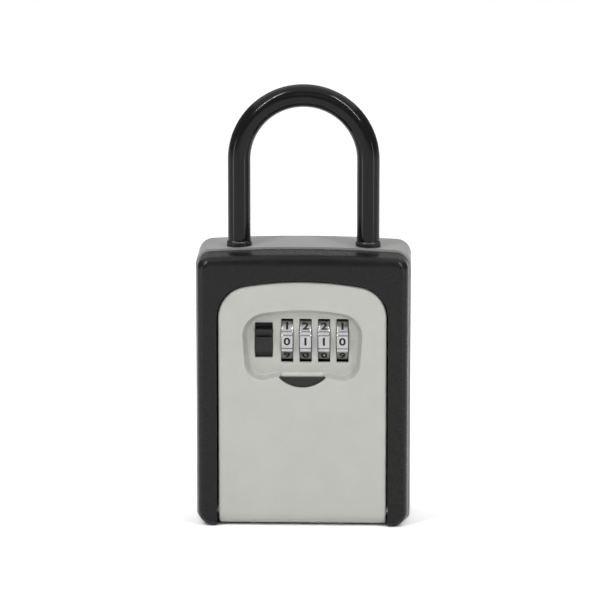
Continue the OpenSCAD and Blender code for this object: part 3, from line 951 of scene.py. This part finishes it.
def coil_in(node, name, axis, wire, turns, between=None):
    """A coil in the place of a packed spring.

    between names its (fixed, moving) bodies; the moving one is at its first end along x or its last
    end along z.
    """
    lo, hi = node_box(node)
    middle = (lo + hi) / 2
    if axis == "x":
        centre, start, end, radius = (middle.y, middle.z), lo.x, hi.x, (hi.y - lo.y) / 2
        held, moved = (hi.x, middle.y, middle.z), (lo.x, middle.y, middle.z)
    else:
        centre, start, end, radius = (middle.x, middle.y), lo.z, hi.z, (hi.x - lo.x) / 2
        held, moved = (middle.x, middle.y, lo.z), (middle.x, middle.y, hi.z)
    body = None if between else BODY_OF[node]
    obj = coil(name, node, body, axis, centre, start, end, radius, wire, turns)
    if between:
        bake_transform(obj, *between, start=tuple(c * MM for c in held), end=tuple(c * MM for c in moved))
    return obj


coil_in("bolt_spring", "bolt_coil", "x", 0.25, 6.5, ("case", "shackle_lock"))
coil_in("latch_spring", "latch_coil", "z", 0.25, 6.5, ("door", "slider"))
sleeve_coil = coil_in("sleeve_spring", "sleeve_coil", "x", 0.3, 3.25)
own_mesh(sleeve_coil)

# ---------------------------------------------------------------- the other pieces, cleaned and edge-rounded
refined("rear_case", 0.35, angle=40, segments=3)
refined("front_bezel", 0.45, angle=40, segments=3)
pull = refined("finger_pull", 0.25, angle=40)
pull.data.materials[0] = MATERIALS["pull_grey"]
# node names by the size of their rounded edge and the angle from which an edge is rounded
ROUNDED = (
    (0.12, 50, ("bezel_screws", "housing_screws", "cover_screws", "latch_screw")),
    (0.12, 50, ("hinge_pin", "dial_axle", "lever_washer")),
    (0.25, 40, ("shackle_housing", "latch_keeper", "shackle_bolt", "release_button")),
    (0.25, 40, ("mechanism_frame", "reset_lever")),
    (0.10, 40, ("mechanism_cover", "detent_spring", "latch_plate")),
    (0.10, 50, ("cam_1", "cam_2", "cam_3", "cam_4")),
)
for width, angle, nodes in ROUNDED:
    for node in nodes:
        refined(node, width, angle=angle)

# ---------------------------------------------------------------- floor, light and camera
scene = bpy.context.scene
low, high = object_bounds()
height = high.z - low.z


def stage(name, v, f, colour, specular, **sockets):
    """A plain piece of the studio: colour and specular, then any of the shader's other sockets."""
    me = bpy.data.meshes.new(name)
    me.from_pydata(v, [], f)
    obj = bpy.data.objects.new(name, me)
    scene.collection.objects.link(obj)
    mat, _, bsdf, _ = nodes_of(name)
    bsdf.inputs["Base Color"].default_value = (colour, colour, colour, 1)
    bsdf.inputs["Specular IOR Level"].default_value = specular
    for socket, value in sockets.items():
        bsdf.inputs[socket.replace("_", " ")].default_value = value
    me.materials.append(mat)
    return obj


FLOOR_REACH, WALL_R, WALL_LOW, WALL_HIGH, WALL_PARTS = 6.0, 2.9, -0.5, 5.0, 48
corners = [(sx * FLOOR_REACH, sy * FLOOR_REACH, 0) for sx, sy in ((-1, -1), (1, -1), (1, 1), (-1, 1))]
stage("floor", corners, [(0, 1, 2, 3)], 0.98, 0.15, Roughness=0.75)

world = bpy.data.worlds.new("studio")
scene.world = world
world.use_nodes = True
world.node_tree.nodes["Background"].inputs["Color"].default_value = (1, 1, 1, 1)
world.node_tree.nodes["Background"].inputs["Strength"].default_value = 0.34

# a plain white backdrop that the camera sees and that gives no light
wall_v, wall_f = [], []
for i in range(WALL_PARTS):
    a = 2 * math.pi * i / WALL_PARTS
    wall_v += [(WALL_R * math.cos(a), WALL_R * math.sin(a), z) for z in (WALL_LOW, WALL_HIGH)]
    j = (i + 1) % WALL_PARTS
    wall_f.append((2 * i, 2 * j, 2 * j + 1, 2 * i + 1))
backdrop = stage("backdrop", wall_v, wall_f, 0, 0.0, Emission_Color=(1, 1, 1, 1), Emission_Strength=1.0)
for ray in ("diffuse", "glossy", "shadow", "transmission"):
    setattr(backdrop, "visible_" + ray, False)


def softbox(name, place, aim, size, power):
    """A rectangular lamp; places and sizes in metres, power in watts."""
    data = bpy.data.lights.new(name, "AREA")
    data.shape = "RECTANGLE"
    data.size, data.size_y = size
    data.energy = power
    lamp = bpy.data.objects.new(name, data)
    scene.collection.objects.link(lamp)
    lamp.location = place
    lamp.rotation_mode = "QUATERNION"
    lamp.rotation_quaternion = (Vector(aim) - Vector(place)).to_track_quat("-Z", "Y")
    lamp.visible_camera = False


middle, box_top = Vector((0, 0, height * 0.55)), (0, 0, 0.12)
softbox("overhead", (0.0, 0.9, 2.2), (0.0, 0.9, 0.0), (5.0, 5.0), 82.0)
softbox("key", (-0.62, -0.80, 1.05), middle, (0.032, 0.85), 10.0)
softbox("fill", (0.75, -0.70, 0.95), middle, (0.030, 0.76), 8.0)
softbox("front", (0.15, -1.60, 1.00), middle, (0.9, 0.6), 1.0)
softbox("left_strip", (-0.50, -0.30, 0.09), box_top, (0.10, 0.22), 0.32)
softbox("right_strip", (0.55, -0.34, 0.09), box_top, (0.06, 0.22), 0.26)

# The camera looks slightly down from nearly straight ahead. The box from its front toe to the shackle's
# crown takes TALL of the picture's height, with its middle a little right of and below the picture's.
AZIMUTH, ELEVATION, DISTANCE = math.radians(1.8), math.radians(12.0), 1.6
TALL, OFF_RIGHT, OFF_DOWN = 0.73, 0.005, 0.011667
SENSOR = 36.0
level = math.cos(ELEVATION)
back = Vector((math.sin(AZIMUTH) * level, -math.cos(AZIMUTH) * level, math.sin(ELEVATION)))
right = Vector((math.cos(AZIMUTH), math.sin(AZIMUTH), 0))
up = back.cross(right).normalized()
crown = Vector((0, LEG_Y * MM, high.z))
toe = Vector((0, low.y, low.z))
picture = (crown - toe).dot(up) / TALL
aim = Vector((0, low.y * 0.5, 0))
aim += up * ((crown.dot(up) + toe.dot(up)) / 2 - aim.dot(up))
aim += up * (OFF_DOWN * picture) - right * (OFF_RIGHT * picture)
camera_data = bpy.data.cameras.new("camera")
camera_data.sensor_width = SENSOR
camera_data.lens = SENSOR * DISTANCE / picture
camera = bpy.data.objects.new("camera", camera_data)
scene.collection.objects.link(camera)
camera.location = aim + back * DISTANCE
camera.rotation_mode = "QUATERNION"
camera.rotation_quaternion = (-back).to_track_quat("-Z", "Y")
scene.camera = camera
scene.view_settings.view_transform = "Standard"
